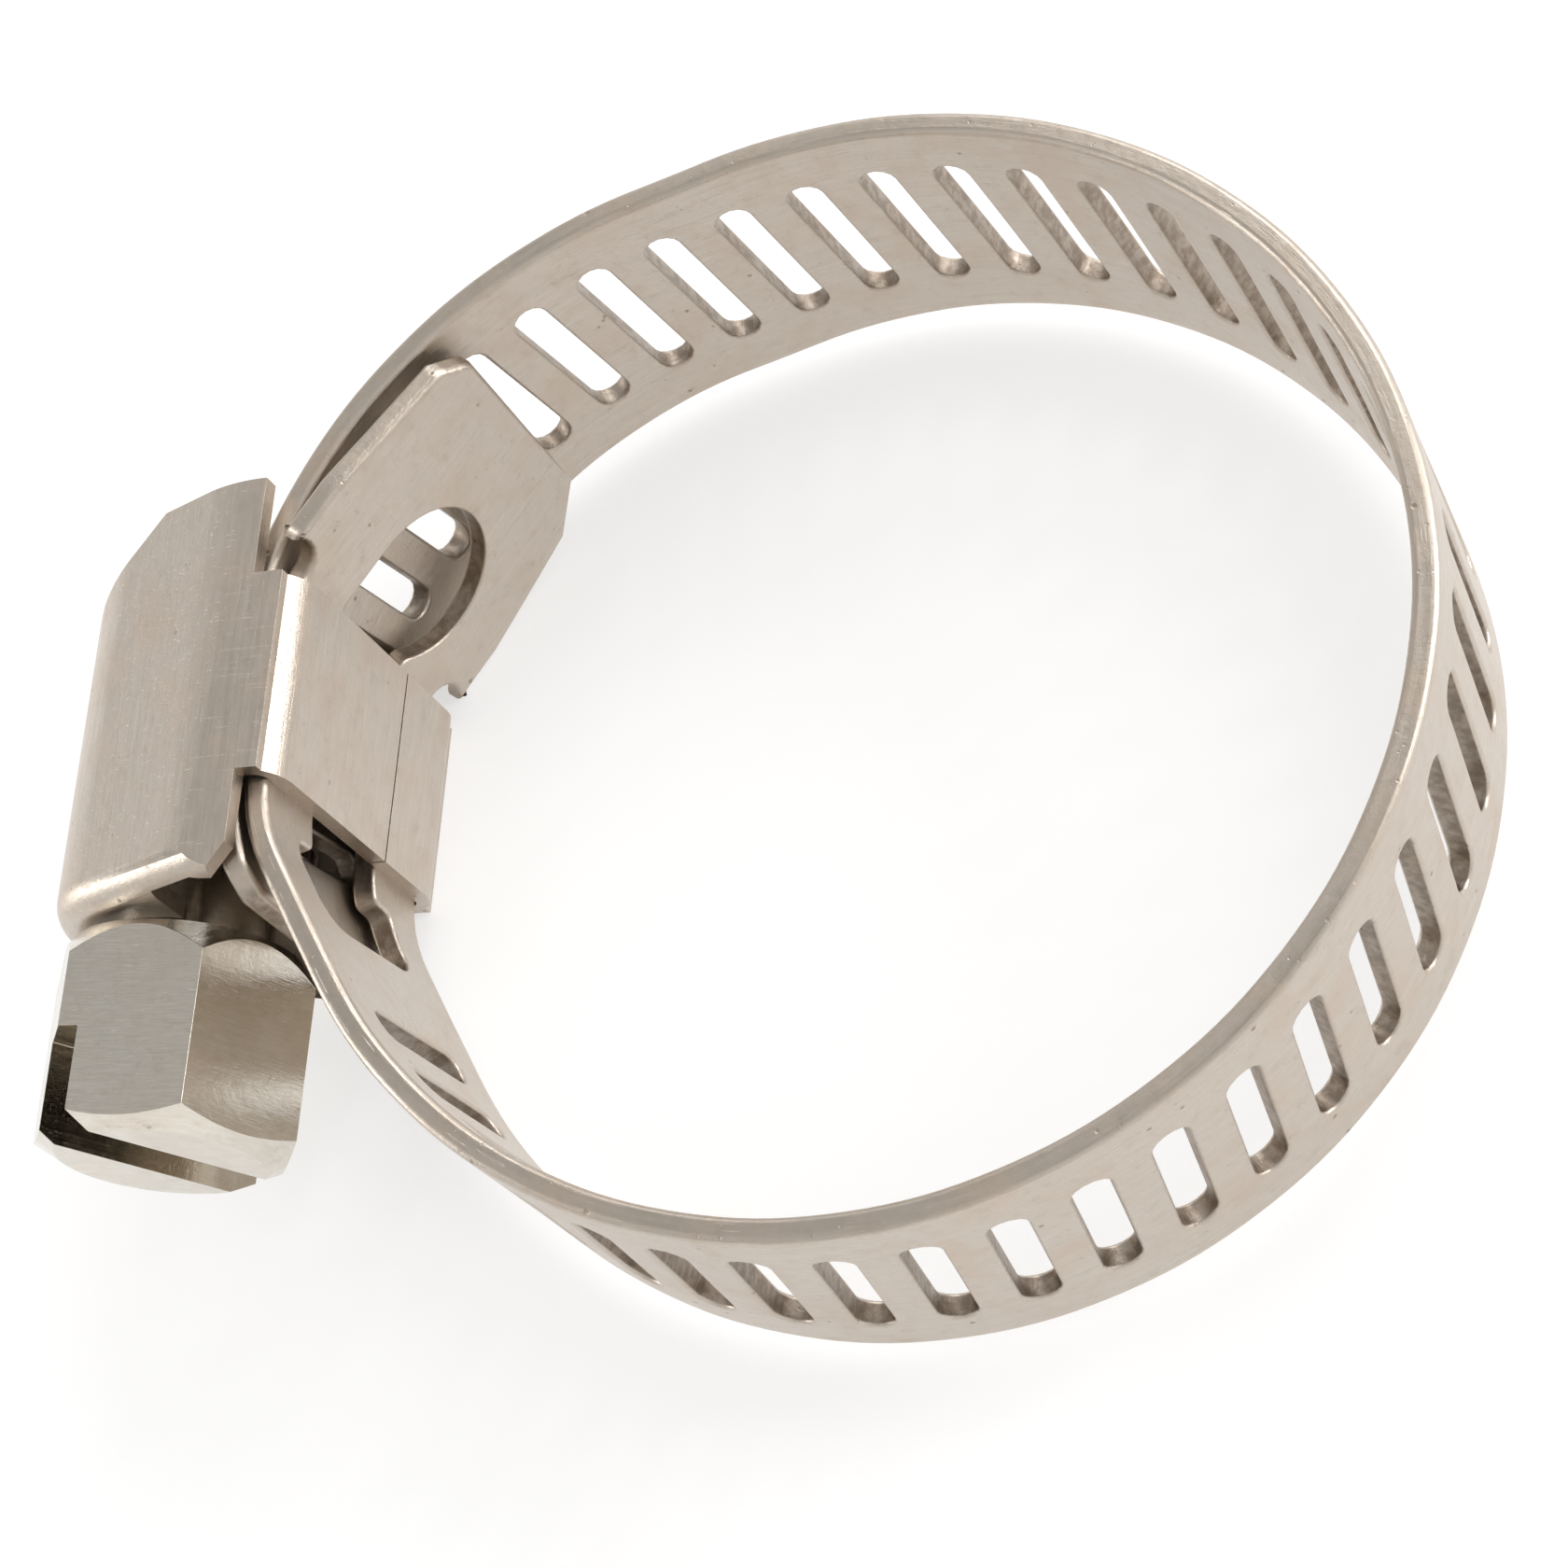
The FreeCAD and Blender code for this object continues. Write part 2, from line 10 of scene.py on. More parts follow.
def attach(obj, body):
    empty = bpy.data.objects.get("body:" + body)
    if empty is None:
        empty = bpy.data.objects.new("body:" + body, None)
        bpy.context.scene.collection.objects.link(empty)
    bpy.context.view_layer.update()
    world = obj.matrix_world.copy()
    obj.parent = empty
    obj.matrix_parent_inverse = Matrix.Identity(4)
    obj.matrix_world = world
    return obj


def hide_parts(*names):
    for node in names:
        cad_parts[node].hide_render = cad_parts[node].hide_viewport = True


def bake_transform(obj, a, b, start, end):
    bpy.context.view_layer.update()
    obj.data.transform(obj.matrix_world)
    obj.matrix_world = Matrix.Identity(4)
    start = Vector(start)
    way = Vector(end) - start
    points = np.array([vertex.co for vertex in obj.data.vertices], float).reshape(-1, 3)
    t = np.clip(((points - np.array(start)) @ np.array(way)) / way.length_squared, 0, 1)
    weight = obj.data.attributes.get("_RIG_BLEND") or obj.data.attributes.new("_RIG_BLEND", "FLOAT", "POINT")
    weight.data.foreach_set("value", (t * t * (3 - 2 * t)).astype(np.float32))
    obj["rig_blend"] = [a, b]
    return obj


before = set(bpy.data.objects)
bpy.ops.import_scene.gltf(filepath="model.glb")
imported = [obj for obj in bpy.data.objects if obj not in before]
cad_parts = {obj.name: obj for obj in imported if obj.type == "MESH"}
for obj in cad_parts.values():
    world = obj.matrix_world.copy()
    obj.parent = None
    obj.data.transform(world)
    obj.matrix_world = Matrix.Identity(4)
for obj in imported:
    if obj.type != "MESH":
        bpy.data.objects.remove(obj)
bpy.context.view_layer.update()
MM = 0.001
DEG = math.pi / 180

# ---------------------------------------------------------------- the strip
# the same path and perforation as the CAD strip, in millimetres
BAND_W, BAND_T, R_IN = 8.0, 0.60, 13.00
PITCH, SLOT_LEN, SLOT_WID, SLANT = 1.88, 5.0, 0.88, 7.0
BASE_X = -13.39
P1, P2, BEND_1, BEND_2 = (BASE_X, 3.15), (BASE_X, -3.00), 0.8, 4.0
TONGUE_R, TIP_PHI = 12.91, 138.2
ARC_C, ARC_R, TAIL_PHI = (-2.083, 0.101), 12.325, 203.0
HINGE_TOP, HINGE_BOTTOM, SLOT_TOP = 93.3, 266.9, 89.55
WINDOW_HALF, KEY_R, KEY_S, KEY_Z, EAR = 1.60, 2.05, 2.05, -0.45, 0.55
SPLIT_PHI = 4.50
RM = R_IN + BAND_T / 2


def pol(r, deg, c=(0.0, 0.0)):
    return (c[0] + r * math.cos(deg * DEG), c[1] + r * math.sin(deg * DEG))


def norm(x, y):
    d = math.hypot(x, y)
    return (x / d, y / d)


def fillet(P, din, dout, rho):
    ang = math.acos(max(-1, min(1, din[0] * dout[0] + din[1] * dout[1])))
    tl = rho * math.tan(ang / 2)
    a = (P[0] - din[0] * tl, P[1] - din[1] * tl)
    c = (a[0] - din[1] * rho, a[1] + din[0] * rho)
    t0 = math.degrees(math.atan2(a[1] - c[1], a[0] - c[0])) % 360
    return a, ("arc", c, rho, t0, t0 + math.degrees(ang)), (P[0] + dout[0] * tl, P[1] + dout[1] * tl)


phi_t1 = math.degrees(math.atan2(P1[1], P1[0]) - math.acos(TONGUE_R / math.hypot(*P1)))
n1 = pol(1.0, phi_t1)
s_tip = TONGUE_R * math.tan((phi_t1 - TIP_PHI) * DEG)
TIP = (n1[0] * TONGUE_R + n1[1] * s_tip, n1[1] * TONGUE_R - n1[0] * s_tip)
d1 = norm(P1[0] - TIP[0], P1[1] - TIP[1])
phi_t2 = (math.degrees(math.atan2(P2[1], P2[0])) % 360) + math.degrees(math.acos(R_IN / math.hypot(*P2)))
d3 = (-math.sin(phi_t2 * DEG), math.cos(phi_t2 * DEG))
a1, f1, b1 = fillet(P1, d1, (0.0, -1.0), BEND_1)
a2, f2, b2 = fillet(P2, (0.0, -1.0), d3, BEND_2)
cd = math.hypot(*ARC_C)
phi_j = math.degrees(math.atan2(ARC_C[1], ARC_C[0])) - math.degrees(math.acos((R_IN - ARC_R) / cd))

lower_path = [("line", TIP, a1), f1, ("line", b1, a2), f2, ("line", b2, pol(R_IN, phi_t2)),
              ("arc", (0, 0), R_IN, phi_t2, 360 + SPLIT_PHI)]
upper_path = [("arc", (0, 0), R_IN, SPLIT_PHI, phi_j),
              ("line", pol(R_IN, phi_j), pol(ARC_R, phi_j, ARC_C)),
              ("arc", ARC_C, ARC_R, phi_j, TAIL_PHI)]


def length_of(p):
    if p[0] == "line":
        return math.hypot(p[2][0] - p[1][0], p[2][1] - p[1][1])
    return (p[2] + BAND_T / 2) * (p[4] - p[3]) * DEG


def at(path, u, h):
    """Point at u along the strip's middle and h out from its middle, with the outward normal and heading."""
    for p in path:
        L = length_of(p)
        if u <= L or p is path[-1]:
            if p[0] == "line":
                d = norm(p[2][0] - p[1][0], p[2][1] - p[1][1])
                n = (d[1], -d[0])
                o = BAND_T / 2 + h
                return (p[1][0] + d[0] * u + n[0] * o, p[1][1] + d[1] * u + n[1] * o), n, d
            t = p[3] + u / (p[2] + BAND_T / 2) / DEG
            n = pol(1.0, t)
            return pol(p[2] + BAND_T / 2 + h, t, p[1]), n, (-n[1], n[0])
        u -= L


def total(path):
    return sum(length_of(p) for p in path)


def obround(u0, z0=0.0, k=7, wide=0.0):
    """A slanted slot's outline in the flat strip."""
    h, r = SLOT_LEN / 2 - (SLOT_WID + wide) / 2, (SLOT_WID + wide) / 2
    pts = []
    for i in range(k + 1):
        a = math.pi * i / k
        pts.append((r * math.cos(a), h + r * math.sin(a)))
    for i in range(k + 1):
        a = math.pi + math.pi * i / k
        pts.append((r * math.cos(a), -h + r * math.sin(a)))
    c, s = math.cos(SLANT * DEG), math.sin(SLANT * DEG)
    return [(u0 + x * c + z * s, z0 - x * s + z * c) for x, z in pts]


def disc(u0, z0, r, k=32):
    return [(u0 + r * math.cos(2 * math.pi * i / k), z0 + r * math.sin(2 * math.pi * i / k)) for i in range(k)]


def inside(poly, x, y):
    n, c, j = len(poly), False, len(poly) - 1
    for i in range(n):
        xi, yi = poly[i]
        xj, yj = poly[j]
        if (yi > y) != (yj > y) and x < (xj - xi) * (y - yi) / (yj - yi) + xi:
            c = not c
        j = i
    return c


def boxof(poly):
    a = np.array(poly)
    return a.min(0), a.max(0)


def densify(poly, step):
    out = []
    for i, p in enumerate(poly):
        q = poly[(i + 1) % len(poly)]
        n = max(1, int(math.ceil(math.hypot(q[0] - p[0], q[1] - p[1]) / step)))
        out += [(p[0] + (q[0] - p[0]) * k / n, p[1] + (q[1] - p[1]) * k / n) for k in range(n)]
    return out


def cdt(polys, extra=()):
    verts, edges = [], []
    for poly in polys:
        s = len(verts)
        verts += [Vector(p) for p in poly]
        edges += [(s + i, s + (i + 1) % len(poly)) for i in range(len(poly))]
    verts += [Vector(p) for p in extra]
    v, e, f, _, _, _ = delaunay_2d_cdt(verts, edges, [], 0, 1e-6)
    return v, f


def cut_out(outline, holes):
    """Boundary loops of the outline with every hole taken out; holes may overlap each other and the edge."""
    v, f = cdt([outline] + holes)
    hb = [boxof(h) for h in holes]
    keep = []
    for t in f:
        cx = sum(v[i].x for i in t) / 3
        cy = sum(v[i].y for i in t) / 3
        if not inside(outline, cx, cy):
            continue
        if any(b[0][0] <= cx <= b[1][0] and b[0][1] <= cy <= b[1][1] and inside(h, cx, cy) for h, b in zip(holes, hb)):
            continue
        keep.append(t)
    half = {}
    for t in keep:
        for i in range(3):
            half[(t[i], t[(i + 1) % 3])] = True
    nxt = {}
    for a, b in half:
        if (b, a) not in half:
            nxt.setdefault(a, []).append(b)
    loops = []
    while nxt:
        a = next(iter(nxt))
        loop = [a]
        b = nxt[a].pop()
        if not nxt[a]:
            del nxt[a]
        while b != loop[0]:
            loop.append(b)
            c = nxt[b].pop()
            if not nxt[b]:
                del nxt[b]
            b = c
        loops.append([(v[i].x, v[i].y) for i in loop])
    return [l for l in loops if len(l) > 3]


def clean(loop, tol=0.012):
    """Drops points closer together than tol."""
    out = []
    for p in loop:
        if not out or math.hypot(p[0] - out[-1][0], p[1] - out[-1][1]) > tol:
            out.append(p)
    while len(out) > 3 and math.hypot(out[0][0] - out[-1][0], out[0][1] - out[-1][1]) <= tol:
        out.pop()
    return out


def inset(loop, d):
    """Loop moved d into the material. Loops run with the material on their left."""
    n, out = len(loop), []
    for i in range(n):
        p, q, r = loop[i - 1], loop[i], loop[(i + 1) % n]
        e1, e2 = norm(q[0] - p[0], q[1] - p[1]), norm(r[0] - q[0], r[1] - q[1])
        m = (-(e1[1] + e2[1]), e1[0] + e2[0])
        L = math.hypot(*m)
        m = (m[0] / L, m[1] / L) if L > 1e-6 else (-e1[1], e1[0])
        k = max(0.55, m[0] * -e1[1] + m[1] * e1[0])
        out.append((q[0] + m[0] * d / k, q[1] + m[1] * d / k, m[0], m[1]))
    return out


FADE = [0.0]


def wobble(u, z):
    """The strip is not quite true: a few microns of waviness, in millimetres. None at a butted end."""
    f = min(1.0, min(abs(u - q) for q in FADE) / 3.0)
    return -f * (0.010 * (1 + math.sin(u * 0.61 + 0.7) * math.cos(z * 0.45)) + 0.005 * (1 + math.sin(u * 1.7 + z * 0.8)))


def strip_mesh(name, path, outline, holes, edge_r, hole_r, flat_ends=()):
    FADE[:] = list(flat_ends) or [-1e9]
    loops = [clean(densify(l, 0.42)) for l in cut_out(outline, holes)]
    for n, l in enumerate(loops):
        hole = sum(l[i - 1][0] * l[i][1] - l[i][0] * l[i - 1][1] for i in range(len(l))) < 0
        if hole and sum(math.hypot(l[i][0] - l[i - 1][0], l[i][1] - l[i - 1][1]) for i in range(len(l))) > 14:
            # the long window: its punched corners are rounded
            l = densify(l, 0.16)
            for _ in range(5):
                l = [((l[i - 1][0] + 2 * l[i][0] + l[(i + 1) % len(l)][0]) / 4, (l[i - 1][1] + 2 * l[i][1] + l[(i + 1) % len(l)][1]) / 4) for i in range(len(l))]
            loops[n] = clean(l, 0.05)
    areas = []
    for l in loops:
        a = sum(l[i - 1][0] * l[i][1] - l[i][0] * l[i - 1][1] for i in range(len(l))) / 2
        areas.append(a)
    verts, normals, rim, flat = [], [], [], []
    K = 4
    ring_ids = []
    L = total(path)

    def add(u, z, h, nu, nz, nh, rimv):
        (x, y), n, d = at(path, max(0.0, min(L, u)), h)
        verts.append((x * MM, y * MM, z * MM))
        nn = Vector((n[0] * nh + d[0] * nu, n[1] * nh + d[1] * nu, nz))
        normals.append(nn.normalized())
        rim.append(rimv)
        flat.append((u, h, z))
        return len(verts) - 1

    faces = []
    tops, bots = [], []
    for l, area in zip(loops, areas):
        r = edge_r if area > 0 else hole_r
        rr = (r, r)                  # outer face, inner face
        rings = []
        for side, h_s in ((1, 1), (-1, -1)):
            seq = []
            for k in range(K + 1):
                a = (math.pi / 2) * k / K
                ins = inset(l, r * (1 - math.sin(a)))
                ring = []
                for (ox, oz), (x, z, mx, mz) in zip(l, ins):
                    e = [q for q in flat_ends if abs(q - ox) < 0.02]
                    h = h_s * (BAND_T / 2 - r * (1 - math.cos(a)))
                    if e and abs(oz) > BAND_W / 2 - 0.02:
                        # a corner of a butted end keeps the edge's rounded section
                        sg = 1 if oz > 0 else -1
                        w = wobble(e[0], oz)
                        ring.append(add(e[0], oz - sg * r * (1 - math.sin(a)), h + w, 0, sg * math.sin(a), h_s * math.cos(a), k / K))
                        continue
                    if e:
                        ring.append(add(e[0], oz, h_s * (BAND_T / 2) + wobble(e[0], oz), 0, 0, h_s, 0.0))
                        continue
                    w = wobble(x, z)
                    ring.append(add(x, z, h + w, -mx * math.sin(a), -mz * math.sin(a), h_s * math.cos(a), k / K))
                seq.append(ring)
            rings.append(seq)
        top, bot = rings
        n = len(l)
        chain = top + bot[::-1]
        for r0, r1 in zip(chain[:-1], chain[1:]):
            for i in range(n):
                j = (i + 1) % n
                faces.append((r0[i], r0[j], r1[j], r1[i]))
        tops.append(top[0])
        bots.append(bot[0])
    # the two broad faces
    flat2 = [[(flat[i][0], flat[i][2]) for i in ring] for ring in tops]
    bx = [boxof(p) for p in flat2]
    grid = []
    nu = int(L / 0.42)
    for iu in range(1, nu):
        for iz in range(-11, 12):
            u, z = L * iu / nu, iz * 0.4
            if iz % 2 and False:
                continue
            near = False
            ok = False
            for p, (lo, hi), a in zip(flat2, bx, areas):
                if a > 0:
                    ok = inside(p, u, z)
                elif lo[0] - 0.12 <= u <= hi[0] + 0.12 and lo[1] - 0.12 <= z <= hi[1] + 0.12:
                    if inside(p, u, z):
                        near = True
                if lo[0] - 0.3 <= u <= hi[0] + 0.3 and lo[1] - 0.3 <= z <= hi[1] + 0.3:
                    arr = np.array(p)
                    if ((arr[:, 0] - u) ** 2 + (arr[:, 1] - z) ** 2).min() < 0.02:
                        near = True
            if ok and not near:
                grid.append((u, z))
    v, f = cdt(flat2, grid)
    index = {}
    for ring_t, ring_b in zip(tops, bots):
        for i, j in zip(ring_t, ring_b):
            index[(round(flat[i][0], 4), round(flat[i][2], 4))] = (i, j)
    pair = []
    for q in v:
        key = (round(q.x, 4), round(q.y, 4))
        if key in index:
            pair.append(index[key])
        else:
            w = wobble(q.x, q.y)
            pair.append((add(q.x, q.y, BAND_T / 2 + w, 0, 0, 1, 0.0), add(q.x, q.y, -BAND_T / 2 + w, 0, 0, -1, 0.0)))
    for t in f:
        cx = sum(v[i].x for i in t) / 3
        cz = sum(v[i].y for i in t) / 3
        e1, e2 = v[t[1]] - v[t[0]], v[t[2]] - v[t[0]]
        if abs(e1.x * e2.y - e1.y * e2.x) < 2e-4 * max(e1.length_squared, e2.length_squared, (e2 - e1).length_squared):
            continue                 # three points in a line along a straight edge
        ok = False
        for p, (lo, hi), a in zip(flat2, bx, areas):
            if lo[0] <= cx <= hi[0] and lo[1] <= cz <= hi[1] and inside(p, cx, cz):
                ok = a > 0 if not ok else ok
                if a < 0:
                    ok = False
                    break
        if ok:
            faces.append(tuple(pair[i][0] for i in t)[::-1])
            faces.append(tuple(pair[i][1] for i in t))
    me = bpy.data.meshes.new(name)
    me.from_pydata(verts, [], faces)
    bm = bmesh.new()
    bm.from_mesh(me)
    lay = bm.verts.layers.float_vector.new("nrm")
    ls = bm.verts.layers.float_vector.new("strip")
    lr = bm.verts.layers.float.new("rim")
    for i, b in enumerate(bm.verts):
        b[lay] = normals[i]
        b[ls] = Vector(flat[i])
        b[lr] = rim[i]
    bmesh.ops.remove_doubles(bm, verts=bm.verts, dist=2e-7)
    bmesh.ops.dissolve_degenerate(bm, edges=bm.edges, dist=1e-7)
    bmesh.ops.recalc_face_normals(bm, faces=bm.faces)
    bad = [e for e in bm.edges if not e.is_manifold]
    print(name, "verts", len(bm.verts), "faces", len(bm.faces), "not manifold", len(bad))
    bm.to_mesh(me)
    bm.free()
    me.update()
    for p in me.polygons:
        p.use_smooth = True
    ns = np.zeros(len(me.vertices) * 3, np.float32)
    me.attributes["nrm"].data.foreach_get("vector", ns)
    me.normals_split_custom_set_from_vertices([Vector(x) for x in ns.reshape(-1, 3)])
    me.attributes.remove(me.attributes["nrm"])
    o = bpy.data.objects.new(name, me)
    bpy.context.collection.objects.link(o)
    return o


def u_at_y(path, y, lo, hi):
    """u where the strip's middle falls to height y, between lo and hi; y falls with u there."""
    for _ in range(50):
        m = (lo + hi) / 2
        if at(path, m, 0)[0][1] > y:
            lo = m
        else:
            hi = m
    return lo


# the lower stretch: tongue, flat under the strap, and half of the loop
L_low = total(lower_path)
u_arc = sum(length_of(p) for p in lower_path[:-1])
tongue = math.hypot(a1[0] - TIP[0], a1[1] - TIP[1])
half = BAND_W / 2
c0, c1 = 0.75, 1.15
outline = [(c1, -half), (tongue - 1.9, -half - EAR), (tongue, -half - EAR), (tongue, -half), (L_low, -half),
           (L_low, half), (tongue, half), (tongue, half + EAR), (tongue - 1.9, half + EAR), (c0 + 0.2, half + 0.02), (c0, half), (0, half - c0), (0, -half + c1)]
u_k = math.hypot(P1[0] - TIP[0], P1[1] - TIP[1]) - KEY_S
u_row = u_arc + RM * (SLOT_TOP + 360 - phi_t2) * DEG          # a slot of the row, beyond this stretch
low_slots = []
u = u_row
while u > L_low - 0.5:
    u -= PITCH
while math.degrees(math.atan2(*at(lower_path, u, 0)[0][::-1])) % 360 >= 214.0 or u > L_low - 3:
    low_slots.append(u)
    u -= PITCH
u_win = u - PITCH
u_n = u_at_y(lower_path, 3.42, 0, u_win)
holes = [obround(q) for q in low_slots] + [obround(u_win + 0.10, wide=0.55)]
holes.append(disc(u_k, KEY_Z, KEY_R, 40))
holes.append([(u_k, -WINDOW_HALF), (u_win - 0.15, -WINDOW_HALF), (u_win - 0.15, WINDOW_HALF), (u_k, WINDOW_HALF)])
fl = []
for i in range(9):
    du = -0.65 + 1.5 * i / 8
    fl.append((u_win - 0.75 + du, math.sqrt(2.45 ** 2 - du ** 2)))
fl += [(p[0], -p[1]) for p in fl[::-1]]
holes.append(fl)
for sz in (1, -1):
    holes.append(disc(u_n, sz * (half + 0.12), 0.62, 20))
band_lower = strip_mesh("band_lower", lower_path, outline, holes, 0.17, 0.10, flat_ends=(L_low,))

L_up = total(upper_path)
u = RM * (SLOT_TOP - SPLIT_PHI) * DEG
while u - PITCH > 0.5:
    u -= PITCH
up_slots = []
while u < L_up - 1.3:
    up_slots.append(u)
    u += PITCH
outline = [(0, -half), (L_up - 0.7, -half), (L_up, -half + 0.7), (L_up, half - 0.7), (L_up - 0.7, half), (0, half)]
band_upper = strip_mesh("band_upper", upper_path, outline, [obround(q) for q in up_slots], 0.17, 0.10, flat_ends=(0.0,))
# ---------------------------------------------------------------- housing and screw
def crease_edges(bm):
    pick = []
    for e in bm.edges:
        if len(e.link_faces) != 2 or min(abs(v.co.z) for v in e.verts) < 4.5 * MM:
            continue
        a, b = sorted((f.normal for f in e.link_faces), key=lambda n: -abs(n.z))
        if abs(a.z) > 0.995 and b.x < -0.2 and 0.3 < abs(b.z) < 0.99 and abs(b.y) < 0.05:
            pick.append(e)
    return pick


def soften_crease(bm, offset):
    """The sheet turns from the barrel's sloping flanks into the side walls in a soft bend, not on a line."""
    bmesh.ops.collapse(bm, edges=[e for e in crease_edges(bm) if e.calc_length() < 0.2 * MM])
    bm.normal_update()
    pick = [e for e in crease_edges(bm) if e.calc_length() > 2 * MM]
    bmesh.ops.bevel(bm, geom=pick, offset=offset * MM, offset_type="OFFSET", segments=9, profile=0.5, affect="EDGES",
                    clamp_overlap=False, loop_slide=True)


def copy_of(node, name, bevel, segments=3, angle=32, crease=None):
    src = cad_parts[node]
    bm = bmesh.new()
    bm.from_mesh(src.data)
    for v in bm.verts:
        v.co = src.matrix_world @ v.co
    bmesh.ops.remove_doubles(bm, verts=bm.verts, dist=1.5e-6)
    bmesh.ops.dissolve_degenerate(bm, edges=bm.edges, dist=1e-6)
    bmesh.ops.recalc_face_normals(bm, faces=bm.faces)
    if crease:
        bmesh.ops.dissolve_limit(bm, angle_limit=0.6 * DEG, use_dissolve_boundaries=False, verts=bm.verts, edges=bm.edges)
        bm.normal_update()
        soften_crease(bm, crease)
        bmesh.ops.recalc_face_normals(bm, faces=bm.faces)
    me = bpy.data.meshes.new(name)
    bm.to_mesh(me)
    print(name, "verts", len(bm.verts), "not manifold", len([e for e in bm.edges if not e.is_manifold]))
    bm.free()
    for a in list(me.attributes):
        if a.name in ("custom_normal",):
            me.attributes.remove(a)
    for p in me.polygons:
        p.use_smooth = True
    co = np.zeros(len(me.vertices) * 3, np.float32)
    me.vertices.foreach_get("co", co)
    at_ = me.attributes.new("strip", "FLOAT_VECTOR", "POINT")
    at_.data.foreach_set("vector", co * 1000)
    o = bpy.data.objects.new(name, me)
    bpy.context.collection.objects.link(o)
    m = o.modifiers.new("round", "BEVEL")
    m.width = bevel * MM
    m.segments = segments
    m.limit_method = "ANGLE"
    m.angle_limit = angle * DEG
    m.harden_normals = True
    m.use_clamp_overlap = True
    m.miter_outer = "MITER_ARC"
    w = o.modifiers.new("normals", "WEIGHTED_NORMAL")
    w.keep_sharp = False
    w.mode = "FACE_AREA"
    return o


housing = copy_of("housing", "worm_housing", 0.09, crease=0.8)
screw = copy_of("worm_screw", "worm_screw_turned", 0.07, segments=2, angle=28)

# ---------------------------------------------------------------- materials
def nodes_of(m):
    m.use_nodes = True
    t = m.node_tree
    t.nodes.clear()
    return t, t.nodes, t.links


def steel(name, base, rough, mode="strip", polish=0.0, pits=1.0, wall=True, warm=0.5):
    """Stainless strip or bar: rolling or turning lines, faint mottling, pits, scratches."""
    m = bpy.data.materials.new(name)
    t, N, K = nodes_of(m)

    def new(kind, **kw):
        n = N.new(kind)
        for k, v in kw.items():
            setattr(n, k, v)
        return n

    out = new("ShaderNodeOutputMaterial")
    bs = new("ShaderNodeBsdfPrincipled")
    K.new(bs.outputs[0], out.inputs[0])
    src = new("ShaderNodeAttribute", attribute_name="strip")
    vec = src.outputs["Vector"]

    def mapping(scale, rot=(0, 0, 0)):
        n = new("ShaderNodeMapping")
        n.inputs["Scale"].default_value = scale
        n.inputs["Rotation"].default_value = rot
        K.new(vec, n.inputs["Vector"])
        return n.outputs[0]

    def noise(v, scale, detail=4, rough_=0.55, dist=0.0):
        n = new("ShaderNodeTexNoise")
        n.inputs["Scale"].default_value = scale
        n.inputs["Detail"].default_value = detail
        n.inputs["Roughness"].default_value = rough_
        n.inputs["Distortion"].default_value = dist
        K.new(v, n.inputs["Vector"])
        return n.outputs["Fac"]

    def ramp(v, a, b, lo=0.0, hi=1.0):
        n = new("ShaderNodeMapRange", interpolation_type="SMOOTHSTEP")
        n.inputs["From Min"].default_value = a
        n.inputs["From Max"].default_value = b
        n.inputs["To Min"].default_value = lo
        n.inputs["To Max"].default_value = hi
        K.new(v, n.inputs["Value"])
        return n.outputs[0]

    def math_(op, a, b, c=None):
        n = new("ShaderNodeMath", operation=op)
        for i, x in enumerate((a, b, c)):
            if x is None:
                continue
            if isinstance(x, (int, float)):
                n.inputs[i].default_value = x
            else:
                K.new(x, n.inputs[i])
        return n.outputs[0]

    def mix(f, a, b):
        n = new("ShaderNodeMix", data_type="RGBA")
        for i, x in ((0, f), (6, a), (7, b)):
            if isinstance(x, (int, float)):
                n.inputs[i].default_value = x
            elif isinstance(x, tuple):
                n.inputs[i].default_value = x
            else:
                K.new(x, n.inputs[i])
        return n.outputs[2]

    # lines along the length of the strip, or round the screw
    if mode == "strip":
        lines = noise(mapping((0.10, 1.0, 7.0)), 3.0, 6, 0.7)
        lines2 = noise(mapping((0.03, 1.0, 22.0)), 3.0, 3, 0.6)
    elif mode == "housing":
        lines = noise(mapping((2.5, 0.22, 2.5)), 3.0, 6, 0.7)
        lines2 = noise(mapping((6.0, 0.10, 6.0)), 3.0, 3, 0.6)
    else:
        lines = noise(mapping((0.5, 6.0, 0.5)), 3.0, 5, 0.65)
        lines2 = noise(mapping((0.2, 20.0, 0.2)), 3.0, 3, 0.6)
    blotch = noise(mapping((1, 1, 1)), 0.55, 5, 0.6, 0.6)
    mottle = noise(mapping((1, 1, 1)), 2.6, 5, 0.6, 0.2)
    grain = noise(mapping((1, 1, 1)), 22.0, 3, 0.7)
    pit_n = new("ShaderNodeTexVoronoi", feature="F1")
    pit_n.inputs["Scale"].default_value = 1.5
    K.new(mapping((1, 1, 1)), pit_n.inputs["Vector"])
    pit_gate = noise(mapping((1, 1, 1)), 1.3, 3, 0.6)
    pit = math_("MULTIPLY", ramp(pit_n.outputs["Distance"], 0.05, 0.13, 1.0, 0.0), ramp(pit_gate, 0.50, 0.60))
    pit2_n = new("ShaderNodeTexVoronoi", feature="F1")
    pit2_n.inputs["Scale"].default_value = 4.5
    K.new(mapping((1.0, 1.0, 1.0), (0.4, 0.2, 0.9)), pit2_n.inputs["Vector"])
    pit2 = math_("MULTIPLY", ramp(pit2_n.outputs["Distance"], 0.06, 0.20, 1.0, 0.0), ramp(mottle, 0.52, 0.62))
    scr = noise(mapping((0.25, 6.0, 5.0), (0.5, 0.35, 0.75)), 2.6, 2, 0.4)
    scratch = ramp(scr, 0.655, 0.69)

